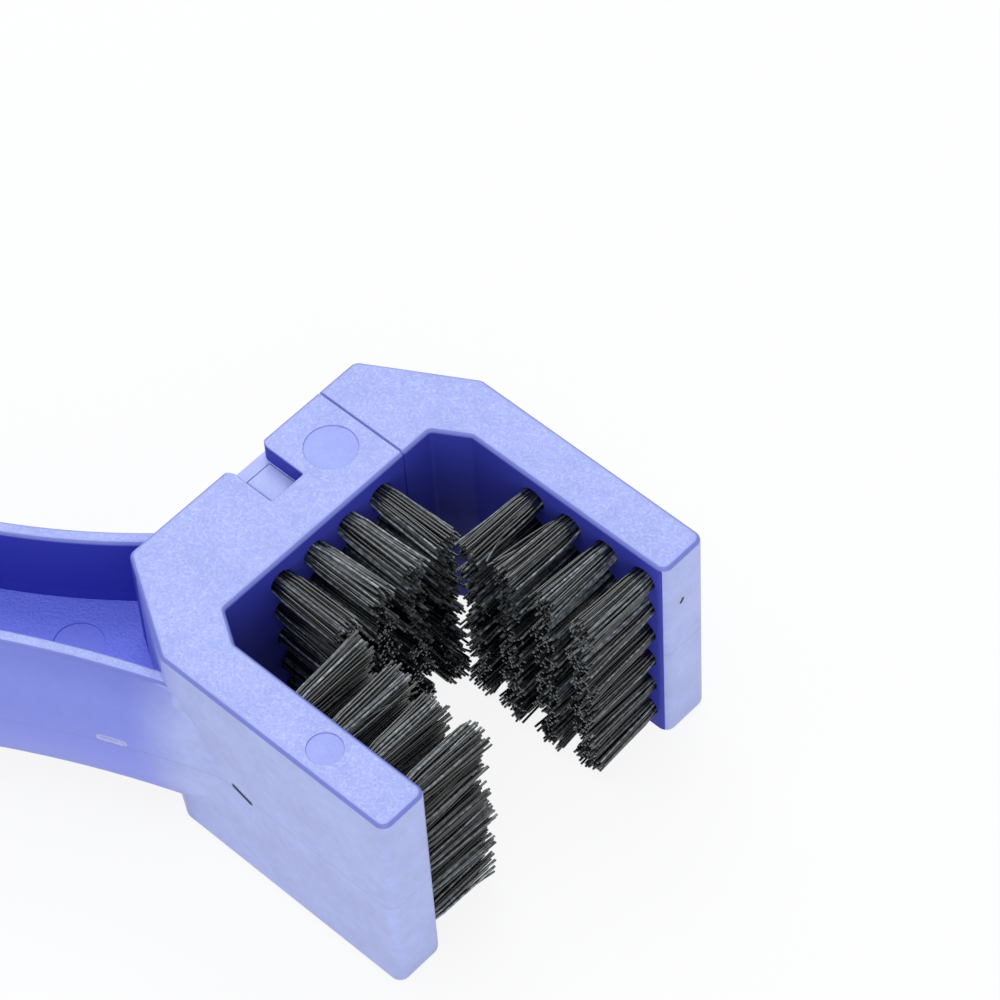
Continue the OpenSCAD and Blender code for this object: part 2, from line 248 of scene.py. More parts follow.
def tail_face():
    """The middle of the tail pad's bristle face, found from its tufts' box."""
    low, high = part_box("tail_tufts_1")
    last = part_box("tail_tufts_4")[1]
    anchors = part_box("tail_anchors")
    root = anchors[0].y - (HOLE_DEPTH - ANCHOR_CLEARANCE - ANCHOR_HEIGHT)
    return Vector(((low.x + last.x) / 2, root, HEAD_HEIGHT / 2))


def walls():
    """Each bristled wall: its name, its body, its frame and the pitch of its columns."""
    head = head_matrix()
    middle_v = -FIRST_ARM_COLUMN - (COLUMNS - 1) * ARM_PITCH / 2
    mid = HEAD_HEIGHT / 2
    return (
        ("near_arm", "body", wall_matrix(head, (-MOUTH_HALF, middle_v, mid), (1, 0, 0)), ARM_PITCH),
        ("far_arm", "arm", wall_matrix(head, (MOUTH_HALF, middle_v, mid), (-1, 0, 0)), ARM_PITCH),
        ("back_wall", "body", wall_matrix(head, (0, -BACK_THICKNESS, mid), (0, -1, 0)), BACK_PITCH),
        ("tail", "body", wall_matrix(Matrix.Identity(4), tail_face(), (0, -1, 0)), TAIL_PITCH),
    )


def length(name, description, default):
    """A length setting, with its default in millimetres."""
    return FloatProperty(name=name, description=description, default=default * MM, unit="LENGTH")


def power(name, description, default):
    """A lamp power setting, in watts."""
    return FloatProperty(name=name, description=description, default=default, unit="POWER")


def tint(name, description, default):
    """A colour setting."""
    return FloatVectorProperty(
        name=name, description=description, default=default, subtype="COLOR", min=0.0, max=1.0)


class MouldingSettings(bpy.types.PropertyGroup):
    edge_round: length("Edge Round", "Radius on the mouldings' edges", 0.9)
    latch_round: length("Latch Round", "Radius on the latch finger's edges", 0.18)
    # The plastic colour is the blue with a pale sheen painted into it, as the outer faces show
    plastic_and_sheen_colour: tint("Plastic Colour", "Pale blue of the outer faces", (0.44, 0.5, 0.9))
    web_colour: tint("Web Colour", "Clear blue of the web between the flanges", (0.19, 0.235, 0.97))
    # Painted shade: the inner colour is the deep blue of the sheltered side faces in shade
    inner_shade_colour: tint(
        "Inner Colour", "Deep blue of the sheltered side faces", (0.035, 0.045, 0.46))
    grain_size: length("Grain Size", "Size of one grain of the spark-eroded top faces", 0.42)
    grain_height: length("Grain Height", "Height of that grain", 0.1)


class BristleSettings(bpy.types.PropertyGroup):
    filaments: IntProperty(
        name="Filaments", description="Filaments in one tuft", default=62, min=8, max=120)
    filament_width: length("Filament Width", "Diameter of one filament", 0.37)
    head_length: length("Head Bristle Length", "Length of the head's bristles outside the wall", 12.8)
    tail_length: length("Tail Bristle Length", "Length of the tail's bristles outside the pad", 18)
    flare: length("Flare", "Widening of a tuft just outside its hole", 0.28)
    lean: length("Lean", "Outward lean of a tuft's outer filaments at the tip", 0.4)
    wander: length("Wander", "Sideways scatter of the filament tips", 0.28)
    ragged: length("Ragged", "Unevenness of the filament ends", 0.75)
    nylon_colour: tint("Nylon Colour", "Black of the bristles", (0.008, 0.009, 0.01))
    seed: IntProperty(name="Seed", description="Start of every random draw", default=7)


class StageSettings(bpy.types.PropertyGroup):
    floor_width: FloatProperty(
        name="Floor Width", description="Width of the floor", default=6.0, unit="LENGTH")
    floor_colour: tint("Floor Colour", "Colour of the floor", (0.9, 0.9, 0.91))
    key_power: power("Key Power", "Power of the large overhead lamp", 4.4)
    fill_power: power("Fill Power", "Power of the lamp on the camera's side", 3.6)
    grip_power: power("Grip Power", "Power of the small lamp above the grip", 0.7)
    sky_strength: FloatProperty(
        name="Sky Strength", description="Strength of the plain surround", default=0.42)
    light_colour: tint("Light Colour", "Tint of the lamps", (0.95, 1.0, 1.0))


def placed(name, data):
    """A new object with this data, linked to the scene."""
    piece = bpy.data.objects.new(name, data)
    bpy.context.scene.collection.objects.link(piece)
    return piece


def new_material(name, kind="ShaderNodeBsdfPrincipled"):
    """A node material with one shader of a kind, and that shader."""
    material = bpy.data.materials.new(name)
    material.use_nodes = True
    nodes = material.node_tree.nodes
    nodes.clear()
    output = nodes.new("ShaderNodeOutputMaterial")
    shader = nodes.new(kind)
    material.node_tree.links.new(shader.outputs[0], output.inputs["Surface"])
    return material, shader


def join(tree, value, socket):
    """Feed a socket from another socket, or set it to a plain value."""
    if isinstance(value, bpy.types.NodeSocket):
        tree.links.new(value, socket)
    else:
        socket.default_value = value


def add_node(tree, kind, sockets):
    """A node of a kind whose inputs get these sockets or plain values."""
    node = tree.nodes.new(kind)
    for name, value in sockets.items():
        join(tree, value, node.inputs[name])
    return node


def maths(tree, operation, first, second=0.0, clamp=False):
    """One math node of a shader or geometry tree."""
    node = tree.nodes.new("ShaderNodeMath")
    node.operation = operation
    node.use_clamp = clamp
    join(tree, first, node.inputs[0])
    join(tree, second, node.inputs[1])
    return node.outputs[0]


def vector_maths(tree, operation, first, second=(0.0, 0.0, 0.0), scale=None):
    """One vector math node; scale is for the operation of that name."""
    node = tree.nodes.new("ShaderNodeVectorMath")
    node.operation = operation
    join(tree, first, node.inputs[0])
    if scale is None:
        join(tree, second, node.inputs[1])
    else:
        join(tree, scale, node.inputs["Scale"])
    return node.outputs["Value" if operation in ("LENGTH", "DISTANCE", "DOT_PRODUCT") else "Vector"]


def ramp(tree, value, low, high, to_low=0.0, to_high=1.0):
    """A smooth step of a value from one range to another."""
    node = add_node(tree, "ShaderNodeMapRange", {
        "Value": value, "From Min": low, "From Max": high, "To Min": to_low, "To Max": to_high})
    node.interpolation_type = "SMOOTHSTEP"
    return node.outputs["Result"]


def noise(tree, place, size, detail=2.0, roughness=0.5):
    """Noise whose features are about as large as size, in metres."""
    sockets = {"Vector": place, "Scale": 1 / size, "Detail": detail, "Roughness": roughness}
    return add_node(tree, "ShaderNodeTexNoise", sockets).outputs["Fac"]


def split(tree, vector):
    """The X, Y and Z of a vector, by name."""
    return add_node(tree, "ShaderNodeSeparateXYZ", {"Vector": vector}).outputs


def product(tree, *shares):
    """Shares multiplied together."""
    result = shares[0]
    for share in shares[1:]:
        result = maths(tree, "MULTIPLY", result, share)
    return result


def weighed(tree, first, second, share):
    """A sum of two values, of which the first has the given share."""
    return maths(tree, "ADD", product(tree, first, share), product(tree, second, 1.0 - share))


def without(tree, share, other, strength=1.0):
    """A share less what the other one takes of it."""
    return product(tree, share, maths(tree, "SUBTRACT", 1.0, product(tree, other, strength)))


def background_rays(tree):
    """1 for the rays that see the plain background directly, in a mirror or through glass."""
    path = tree.nodes.new("ShaderNodeLightPath").outputs
    seen = maths(tree, "MAXIMUM", path["Is Camera Ray"], path["Is Glossy Ray"])
    return maths(tree, "MAXIMUM", seen, path["Is Transmission Ray"])


def mix_colours(tree, factor, first, second):
    """A blend of two colours by a factor."""
    node = tree.nodes.new("ShaderNodeMix")
    node.data_type = "RGBA"
    join(tree, factor, node.inputs["Factor"])
    join(tree, first, node.inputs["A"])
    join(tree, second, node.inputs["B"])
    return node.outputs["Result"]


def bump(tree, height, distance, below=None):
    """A bump of a height from 0 to 1, over another bump if one is given."""
    node = add_node(tree, "ShaderNodeBump", {"Strength": 1.0, "Distance": distance, "Height": height})
    if below is not None:
        join(tree, below, node.inputs["Normal"])
    return node.outputs["Normal"]


def shade(colour, factor):
    """A colour made lighter or darker, with full alpha."""
    return tuple(min(1.0, part * factor) for part in colour) + (1.0,)


def mark_share(tree, place):
    """1 on the ejector marks as seen in plan, 0 beside them."""
    level_place = vector_maths(tree, "MULTIPLY", place, (1.0, 1.0, 0.0))
    head = head_matrix()
    marks = [(head @ Vector((u, v, 0)), radius) for u, v, radius in (BACK_MARK, ARM_MARK)]
    marks.append((Vector((WEB_MARK[0], WEB_MARK[1], 0.0)), WEB_MARK[2]))
    share = 0.0
    for centre, radius in marks:
        away = vector_maths(tree, "DISTANCE", level_place, tuple(centre))
        share = maths(tree, "ADD", share, ramp(tree, away, radius - MARK_SOFTNESS, radius, 1.0, 0.0))
    return share


def scar_share(tree, place, scar, width):
    """1 on a short narrow scar in the surface, falling to 0 around it."""
    middle, direction, half = scar
    direction = direction.normalized()
    offset = vector_maths(tree, "SUBTRACT", place, tuple(middle))
    along = vector_maths(tree, "DOT_PRODUCT", offset, tuple(direction))
    held = maths(tree, "MINIMUM", maths(tree, "MAXIMUM", along, -half), half)
    nearest = vector_maths(tree, "SCALE", tuple(direction), scale=held)
    return ramp(tree, vector_maths(tree, "DISTANCE", offset, nearest), 0.25 * width, width, 1.0, 0.0)


def painted_shade_share(tree, place, facing):
    """1 on side faces inside the mouth, in the notch and between the flanges, where shade is painted in
    deep blue, 0 on the outer ones.
    """
    head = head_matrix()
    offset = vector_maths(tree, "SUBTRACT", place, tuple(head.translation))
    along = maths(tree, "ABSOLUTE", vector_maths(tree, "DOT_PRODUCT", offset, tuple(head.col[0].xyz)))
    across = vector_maths(tree, "DOT_PRODUCT", offset, tuple(head.col[1].xyz))
    parts = split(tree, place)

    def under(value, limit):
        return maths(tree, "LESS_THAN", value, limit)

    def over(value, limit):
        return maths(tree, "GREATER_THAN", value, limit)

    in_mouth = product(
        tree, under(along, MOUTH_HALF + MASK_MARGIN), under(across, MASK_MARGIN - BACK_THICKNESS))
    half, inner_end, outer_end = NOTCH_MASK
    in_notch = product(
        tree, under(along, half), over(across, inner_end), under(across, outer_end),
        over(parts["Z"], NOTCH_FLOOR))
    past_hole = maths(tree, "MINIMUM", maths(tree, "SUBTRACT", parts["X"], HANG_HOLE[0]), 0.0)
    outward = maths(
        tree, "ADD", product(tree, facing["X"], past_hole), product(tree, facing["Y"], parts["Y"]))
    in_trough = product(tree, under(outward, 0.0), under(parts["X"], GRIP_END))
    return maths(tree, "MAXIMUM", maths(tree, "MAXIMUM", in_mouth, in_trough), in_notch)


def parting_line(tree, parts, side):
    """1 on the thin line where the mould's halves met, a little lower on the handle than on the head."""
    line_level = ramp(tree, parts["X"], *LINE_CLIMB, *LINE_HEIGHTS)
    away = maths(tree, "ABSOLUTE", maths(tree, "SUBTRACT", parts["Z"], line_level))
    return product(tree, ramp(tree, away, 0.0, LINE_HALF_WIDTH, 1.0, 0.0), side)


def scars(tree, place):
    """The torn ring of the mould's gate, and the dark nick and speck, each from 0 to 1."""
    torn = ramp(tree, noise(tree, place, TORN_SIZE, 2.0, 0.6), 0.3, 0.6, 0.4, 1.0)
    hollow = product(tree, scar_share(tree, place, GATE, GATE_HOLLOW), 0.6)
    gate = maths(tree, "SUBTRACT", scar_share(tree, place, GATE, GATE_WIDTH), hollow)
    nick = scar_share(tree, place, NICK, NICK_WIDTH)
    speck = scar_share(tree, place, SPECK, SPECK_WIDTH)
    return product(tree, gate, torn), maths(tree, "MAXIMUM", nick, speck)


def plastic_material(name, settings):
    """Moulded plastic: pale grained top and bottom faces whose paleness is painted sheen, smoother sides,
    and painted shade in deeper blue inside.
    """
    material, shader = new_material(name)
    tree = material.node_tree
    outer = tuple(settings.plastic_and_sheen_colour)
    clear = tuple(settings.web_colour)
    deep = tuple(settings.inner_shade_colour)
    where = tree.nodes.new("ShaderNodeTexCoord").outputs
    place = where["Object"]
    facing = split(tree, where["Normal"])
    parts = split(tree, place)

    level = maths(tree, "ABSOLUTE", facing["Z"])
    side = ramp(tree, level, 0.3, 0.6, 1.0, 0.0)
    # The band of rounded edges and tilted faces, which is painted deeper blue as shade
    edge = product(tree, ramp(tree, level, 0.2, 0.5), ramp(tree, level, 0.85, 0.97, 1.0, 0.0))
    inner = product(tree, painted_shade_share(tree, place, facing), side)
    off_notch = maths(tree, "ABSOLUTE", maths(tree, "SUBTRACT", parts["Z"], NOTCH_FLOOR))
    flat = product(tree, ramp(tree, level, 0.93, 0.995), ramp(tree, off_notch, *FLOOR_FADE, 0.2, 1.0))
    disc = mark_share(tree, place)
    smooth_disc = product(tree, disc, flat)
    grained = without(tree, flat, disc, 0.75)
    # Painted shade: the handle's side faces are made a deeper blue, fading out towards the head
    turned = product(tree, ramp(tree, parts["X"], *HANDLE_SHADE_FADE, 0.75, 0.0), side)
    web_level = product(tree, maths(tree, "LESS_THAN", parts["Z"], WEB_MASK_TOP), level)
    on_web = product(tree, web_level, maths(tree, "LESS_THAN", parts["X"], WEB_END_MASK))
    line = without(tree, parting_line(tree, parts, side), inner)
    gate, nick = scars(tree, place)

    fine_grain = ramp(tree, noise(tree, place, settings.grain_size, 1.5, 0.5), 0.34, 0.66)
    coarse_grain = ramp(tree, noise(tree, place, 2.2 * settings.grain_size, 1.0, 0.5), 0.3, 0.7)
    grain = weighed(tree, fine_grain, coarse_grain, 0.7)
    relief = product(tree, grain, maths(tree, "ADD", product(tree, grained, 0.9), 0.1))
    pit_shade = product(tree, maths(tree, "SUBTRACT", 1.0, grain), grained)
    cloud = noise(tree, place, CLOUD_SIZE, 3.0, 0.6)
    mottle = weighed(tree, cloud, noise(tree, place, MOTTLE_SIZE, 2.0, 0.5), 0.65)
    mottle = ramp(tree, mottle, 0.3, 0.7)

    # The outer faces start from the blue with its painted pale sheen, mottled at random
    body = mix_colours(tree, mottle, shade(outer, 0.9), shade(outer, 1.08))
    # Each coat over the one before: where it lies, how strong it is, and its colour
    coats = (
        # Painted shade on the side faces inside the mouth, in the notch and between the flanges
        (inner, 1.0, shade(deep, 1.0)),
        # Painted shade on the handle's side faces
        (without(tree, turned, inner), 1.0, shade(clear, 0.8)),
        # Painted shade: rounded edges and tilted faces deeper blue, without the painted sheen of the flats
        (edge, 0.8, shade(clear, 0.6)),
        (without(tree, on_web, smooth_disc, 0.2), 1.0, shade(clear, 1.0)),
        # Painted shade in the hollows of the grain, a deeper clear blue
        (pit_shade, 0.4, shade(clear, 0.85)),
        # Painted: the smooth ejector marks deeper blue, as they show less sheen than the grain
        (smooth_disc, 0.25, shade(deep, 1.6)),
        (line, 0.35, shade(clear, 0.6)),
        (gate, 0.8, (0.8, 0.82, 0.96, 1.0)),
        (nick, 1.0, shade(outer, 0.05)),
    )
    for share, strength, colour in coats:
        body = mix_colours(tree, product(tree, share, strength), body, colour)
    join(tree, body, shader.inputs["Base Color"])

    surface = None
    unhurt = maths(tree, "SUBTRACT", 1.0, nick)
    # Each relief over the one before: its height from 0 to 1, and what 1 stands for
    heights = (
        (relief, settings.grain_height), (cloud, 0.16 * MM), (line, 0.03 * MM), (gate, 0.3 * MM),
        (unhurt, 0.5 * MM),
    )
    for height, distance in heights:
        surface = bump(tree, height, distance, surface)
    join(tree, surface, shader.inputs["Normal"])
    rough = 0.36
    for share, rise in ((grained, 0.08), (smooth_disc, 0.16), (inner, 0.25), (mottle, 0.06), (nick, 0.5)):
        rough = maths(tree, "ADD", rough, product(tree, share, rise))
    join(tree, rough, shader.inputs["Roughness"])
    shader.inputs["IOR"].default_value = 1.5
    return material


def nylon_material(name, settings):
    """Black nylon filaments: each a little different, with pale grey highlights painted on some in streaks,
    and with paler cut ends.
    """
    material, shader = new_material(name)
    tree = material.node_tree
    colour = tuple(settings.nylon_colour)
    drawn = {}
    for attribute in ("tone", "along"):
        node = tree.nodes.new("ShaderNodeAttribute")
        node.attribute_name = attribute
        drawn[attribute] = node.outputs["Fac"]
    where = tree.nodes.new("ShaderNodeTexCoord")
    # Painted highlights: streaks of pale grey on the filaments drawn brightest stand in for glints of light
    glint_streak = noise(tree, where.outputs["Object"], STREAK_SIZE, 1.0, 0.5)
    painted_glint = product(tree, drawn["tone"], ramp(tree, glint_streak, 0.3, 0.7, 0.6, 1.0))
    painted_glint = maths(tree, "POWER", painted_glint, 3.2)
    # The painted highlight's colour is up to fifty times the black
    body = mix_colours(tree, painted_glint, shade(colour, 0.3), shade(colour, 50.0))
    cut = ramp(tree, drawn["along"], 0.985, 1.0)
    body = mix_colours(tree, product(tree, cut, 0.6), body, (0.06, 0.06, 0.065, 1.0))
    join(tree, body, shader.inputs["Base Color"])
    join(tree, maths(tree, "ADD", product(tree, drawn["tone"], 0.22), 0.14), shader.inputs["Roughness"])
    shader.inputs["IOR"].default_value = 1.53
    shader.inputs["Specular IOR Level"].default_value = 0.8
    return material


def wire_material(name):
    """Drawn flat wire of the tufts' anchors."""
    material, shader = new_material(name)
    tree = material.node_tree
    where = tree.nodes.new("ShaderNodeTexCoord")
    stretch = vector_maths(tree, "MULTIPLY", where.outputs["Object"], (1.0, 1.0, 0.1))
    drawn = noise(tree, stretch, WIRE_STREAK_SIZE, 3.0, 0.6)
    join(tree, mix_colours(tree, drawn, (0.42, 0.4, 0.37, 1.0), (0.62, 0.6, 0.56, 1.0)),
         shader.inputs["Base Color"])
    join(tree, ramp(tree, drawn, 0.2, 0.8, 0.28, 0.42), shader.inputs["Roughness"])
    shader.inputs["Metallic"].default_value = 1.0
    return material


def outline(corners):
    """A closed outline from corners given as x, y and radius."""
    loop = []
    places = [Vector(corner[:2]) for corner in corners]
    for number, corner in enumerate(corners):
        point, radius = places[number], corner[2]
        if radius == 0:
            loop.append(point)
            continue
        back = (places[number - 1] - point).normalized()
        ahead = (places[(number + 1) % len(places)] - point).normalized()
        half = back.angle(ahead) / 2
        middle = (back + ahead).normalized()
        centre = point + middle * radius / math.sin(half)
        side = math.copysign(math.pi / 2 - half, back.cross(ahead))
        for step in range(CORNER_STEPS + 1):
            turn = Matrix.Rotation(side * (1 - 2 * step / CORNER_STEPS), 2)
            loop.append(centre - radius * (turn @ middle))
    return loop


def inset(loop, distance):
    """The outline moved inward by a distance, or outward if that is below zero."""
    moved = []
    for number, point in enumerate(loop):
        back = (point - loop[number - 1]).normalized()
        ahead = (loop[(number + 1) % len(loop)] - point).normalized()
        first, second = back.orthogonal(), ahead.orthogonal()
        moved.append(point + (first + second) * distance / (1 + first.dot(second)))
    return moved


def ring_solid(name, rings):
    """A closed mesh object through rings of as many points each, capped at both ends."""
    form = bmesh.new()
    rows = [[form.verts.new(point) for point in ring] for ring in rings]
    count = len(rings[0])
    for lower, upper in zip(rows, rows[1:]):
        for number in range(count):
            after = (number + 1) % count
            form.faces.new((lower[number], lower[after], upper[after], upper[number]))
    form.faces.new(reversed(rows[0]))
    form.faces.new(rows[-1])
    bmesh.ops.recalc_face_normals(form, faces=form.faces)
    mesh = bpy.data.meshes.new(name)
    form.to_mesh(mesh)
    form.free()
    return placed(name, mesh)


def at_height(loop, height):
    """The outline's points at a height."""
    return [Vector((point.x, point.y, height)) for point in loop]


def rounded_prism(name, loop, low, high, rim):
    """An upright prism over an outline, with both rims rounded."""
    turns = [math.pi / 2 * step / RIM_STEPS for step in range(RIM_STEPS + 1)]
    turns = [(math.cos(turn), math.sin(turn)) for turn in turns]
    rings = [at_height(inset(loop, rim * (1 - y)), low + rim * (1 - x)) for x, y in turns]
    rings += [at_height(inset(loop, rim * (1 - x)), high - rim * (1 - y)) for x, y in turns]
    return ring_solid(name, rings)


def box(name, low, high):
    """A plain block between two corners."""
    corners = ((low.x, low.y, 0), (high.x, low.y, 0), (high.x, high.y, 0), (low.x, high.y, 0))
    loop = outline(corners)
    return ring_solid(name, [at_height(loop, low.z), at_height(loop, high.z)])


def recess(name, matrix, radius, depth, flare, sides):
    """A cutter for a round recess along -z of a frame, whose rim opens by a flare."""
    turns = [2 * math.pi * number / sides for number in range(sides)]
    circle = [Vector((math.cos(turn), math.sin(turn))) for turn in turns]
    shape = ((radius, -depth), (radius, -flare), (radius + flare, CLEAR), (radius + flare, BEYOND))
    rings = [at_height([point * wide for point in circle], height) for wide, height in shape]
    solid = ring_solid(name, rings)
    solid.data.transform(matrix)
    return solid


def tuft_holes(wall, pitch):
    """Cutters for the blind holes of one wall's tufts."""
    holes = []
    for column in range(COLUMNS):
        for row in range(ROWS):
            x = (column - (COLUMNS - 1) / 2) * pitch
            y = (row - (ROWS - 1) / 2) * ROW_PITCH
            place = wall @ Matrix.Translation((x, y, 0))
            holes.append(recess("hole", place, HOLE_RADIUS, HOLE_DEPTH, HOLE_FLARE, HOLE_SIDES))
    return holes


def combine(solid, others, operation):
    """Unite a solid with others, or cut them away, and remove them."""
    if len(others) > 1 and operation == "DIFFERENCE":
        with bpy.context.temp_override(active_object=others[0], selected_editable_objects=others):
            bpy.ops.object.join()
        others = others[:1]
    for other in others:
        step = solid.modifiers.new("Step", "BOOLEAN")
        step.operation = operation
        step.solver = "EXACT"
        step.object = other
    evaluated = solid.evaluated_get(bpy.context.evaluated_depsgraph_get())
    mesh = bpy.data.meshes.new_from_object(evaluated)
    solid.modifiers.clear()
    solid.data = mesh
    for other in others:
        bpy.data.objects.remove(other)


def head_outline():
    """The whole C of the head, both halves, counter-clockwise."""
    half = MOUTH_HALF + ARM_THICKNESS
    one_side = (
        (half - OUTER_CUT[0], 0, OUTER_CORNER),
        (half, -OUTER_CUT[1], OUTER_CORNER),
        (half, -HEAD_DEPTH, OUTER_CORNER),
        (MOUTH_HALF, -HEAD_DEPTH, OUTER_CORNER),
        (MOUTH_HALF, -BACK_THICKNESS - INNER_CUT[1], INNER_CORNER),
        (MOUTH_HALF - INNER_CUT[0], -BACK_THICKNESS, INNER_CORNER),
    )
    near = [(-u, v, radius) for u, v, radius in one_side]
    return outline(near + list(reversed(one_side)))


def round_edges(form, edges, radius):
    """Round these edges of a form."""
    bmesh.ops.bevel(
        form, geom=edges, offset=radius, segments=3, profile=0.5, affect="EDGES", clamp_overlap=True)


def head_half(name, side, seam, rim):
    """The part of the head on one side of the seam, with a small round on the seam's edges."""
    half = rounded_prism(name, head_outline(), 0, HEAD_HEIGHT, rim)
    form = bmesh.new()
    form.from_mesh(half.data)
    everything = form.verts[:] + form.edges[:] + form.faces[:]
    bmesh.ops.bisect_plane(
        form, geom=everything, dist=WELD, plane_co=(seam, 0, 0), plane_no=(-side, 0, 0), clear_outer=True)
    rim_edges = [edge for edge in form.edges if edge.is_boundary]
    bmesh.ops.holes_fill(form, edges=rim_edges, sides=0)
    round_edges(form, rim_edges, SEAM_ROUND)
    bmesh.ops.recalc_face_normals(form, faces=form.faces)
    form.to_mesh(half.data)
    form.free()
    half.data.transform(head_matrix())
    return half


def notch_cutter():
    """The cutter for the thumb notch: its upper rim and its back corners flare outward."""
    side, end, wide, back = NOTCH_HALF, -NOTCH_END, NOTCH_HALF + 2 * NOTCH_FLARE, CLEAR
    loop = outline((
        (-side, end, NOTCH_CORNER), (side, end, NOTCH_CORNER), (side, back, NOTCH_FLARE), (wide, back, 0),
        (wide, BEYOND, 0), (-wide, BEYOND, 0), (-wide, back, 0), (-side, back, NOTCH_FLARE)))
    rings = [at_height(loop, NOTCH_FLOOR)]
    for step in range(RIM_STEPS + 1):
        turn = math.pi / 2 * step / RIM_STEPS
        height = HEAD_HEIGHT + CLEAR - NOTCH_RIM * (1 - math.sin(turn))
        rings.append(at_height(inset(loop, -NOTCH_RIM * (1 - math.cos(turn))), height))
    rings.append(at_height(inset(loop, -NOTCH_RIM), HEAD_HEIGHT + BEYOND))
    cutter = ring_solid("notch", rings)
    cutter.data.transform(head_matrix())
    return cutter


def window_cutter():
    """The cutter for the window in the notch's floor, which the finger's barb fills."""
    cutter = box("window", *WINDOW)
    cutter.data.transform(head_matrix())
    return cutter


def arc_stations(centre, radius, start, sweep, steps, hollow=False):
    """Places on an arc in plan, each with the direction out of the handle."""
    stations = []
    for step in range(steps + 1):
        turn = start + sweep * step / steps
        away = Vector((math.cos(turn), math.sin(turn)))
        stations.append((Vector(centre) + radius * away, -away if hollow else away))
    return stations


def handle_places():
    """The swell's half angle, waist to widest point, crown's rise, pad's face, nose's centre and radius."""
    swing = math.acos(1 - (GRIP_HALF - WAIST_HALF) / (2 * SWELL_RADIUS))
    run = 2 * SWELL_RADIUS * math.sin(swing)
    crown_out = CROWN_RADIUS - math.sqrt(CROWN_RADIUS ** 2 - (GRIP_HEIGHT / 2) ** 2)
    pad_face = WAIST_HALF + crown_out + PAD_STEP
    nose_x = -NECK - 2 * run - TAIL_RUN
    nose_radius = WAIST_HALF + pad_face - PAD_THICKNESS / 2
    return swing, run, crown_out, pad_face, nose_x, nose_radius


def flange(name, flare, side, with_nose):
    """One flange, swept from inside the head to the tail; side is 1 for the far one."""
    swing, run, _, _, nose_x, nose_radius = handle_places()
    radius, flare_sweep = flare
    quarter = math.pi / 2
    widest, second = -NECK - run, -NECK - 2 * run
    outer_y, inner_y = WAIST_HALF + SWELL_RADIUS, GRIP_HALF - SWELL_RADIUS
    arcs = (
        ((-NECK, WAIST_HALF + radius), radius, flare_sweep - quarter, -flare_sweep, FLARE_STEPS, True),
        ((-NECK, outer_y), SWELL_RADIUS, -quarter, -swing, SWELL_STEPS, True),
        ((widest, inner_y), SWELL_RADIUS, quarter - swing, 2 * swing, 2 * SWELL_STEPS, False),
        ((second, outer_y), SWELL_RADIUS, swing - quarter, -swing, SWELL_STEPS, True),
    )
    stations = arc_stations(*arcs[0])
    for arc in arcs[1:]:
        stations += arc_stations(*arc)[1:]
    if with_nose:
        nose = (nose_x, WAIST_HALF - nose_radius)
        stations += arc_stations(nose, nose_radius, quarter, quarter, NOSE_STEPS)
    else:
        stations.append((Vector((nose_x, WAIST_HALF)), Vector((0, 1))))
    half, crown_in = GRIP_HEIGHT / 2, math.sqrt(CROWN_RADIUS ** 2 - (GRIP_HEIGHT / 2) ** 2)
    span = 2 * CROWN_SHARE
    crown = [half * (CROWN_SHARE - span * step / CROWN_STEPS) for step in range(CROWN_STEPS + 1)]
    inside, edge = -FLANGE_THICKNESS, FLANGE_CORNER
    corners = [(inside, half, edge), (0, half, edge)]
    corners += [(math.sqrt(CROWN_RADIUS ** 2 - z * z) - crown_in, z, 0) for z in crown]
    corners += [(0, -half, edge), (inside, -half, edge), (inside - FLANGE_DRAFT, 0, 0)]
    section = outline(corners)
    rings = []
    for place, out in stations:
        ring = [(place + out * point.x, HEAD_HEIGHT / 2 + point.y) for point in section]
        rings.append([Vector((spot.x, side * spot.y, height)) for spot, height in ring])
    return ring_solid(name, rings)


def web():
    """The web between the flanges, which ends inside them, the head and the tail pad."""
    swing, run, _, _, nose_x, nose_radius = handle_places()
    depth = FLANGE_THICKNESS / 2
    widest, second = -NECK - run, -NECK - 2 * run

    def half_width(x, flare):
        if x > -NECK:
            return WAIST_HALF + flare - math.sqrt(flare ** 2 - (x + NECK) ** 2)
        distance = min(abs(x - widest), run)
        if distance > run / 2:
            return WAIST_HALF + SWELL_RADIUS - math.sqrt(SWELL_RADIUS ** 2 - (run - distance) ** 2)
        return GRIP_HALF - SWELL_RADIUS + math.sqrt(SWELL_RADIUS ** 2 - distance ** 2)

    along = [WEB_END + (second - WEB_END) * step / WEB_STEPS for step in range(WEB_STEPS + 1)]
    loop = [Vector((x, half_width(x, FAR_FLARE[0]) - depth)) for x in along]
    for step in range(WEB_NOSE_STEPS + 1):
        turn = math.pi / 2 + math.pi / 2 * step / WEB_NOSE_STEPS
        away = Vector((math.cos(turn), math.sin(turn)))
        loop.append(Vector((nose_x, WAIST_HALF - nose_radius)) + (nose_radius - depth) * away)
    loop += [Vector((x, depth - half_width(x, NEAR_FLARE[0]))) for x in reversed(along)]
    middle, half = HEAD_HEIGHT / 2, WEB_THICKNESS / 2
    return ring_solid("web", [at_height(loop, middle - half), at_height(loop, middle + half)])


def tail_pad(rim):
    """The pad that carries the tail brush."""
    _, _, crown_out, pad_face, nose_x, nose_radius = handle_places()
    left = nose_x - nose_radius - crown_out - PAD_STEP
    right, low, high = left + PAD_LENGTH, -pad_face, PAD_THICKNESS - pad_face
    loop = outline(((left, low, rim), (right, low, rim), (right, high, rim), (left, high, rim)))
    return rounded_prism("pad", loop, 0, HEAD_HEIGHT, rim)


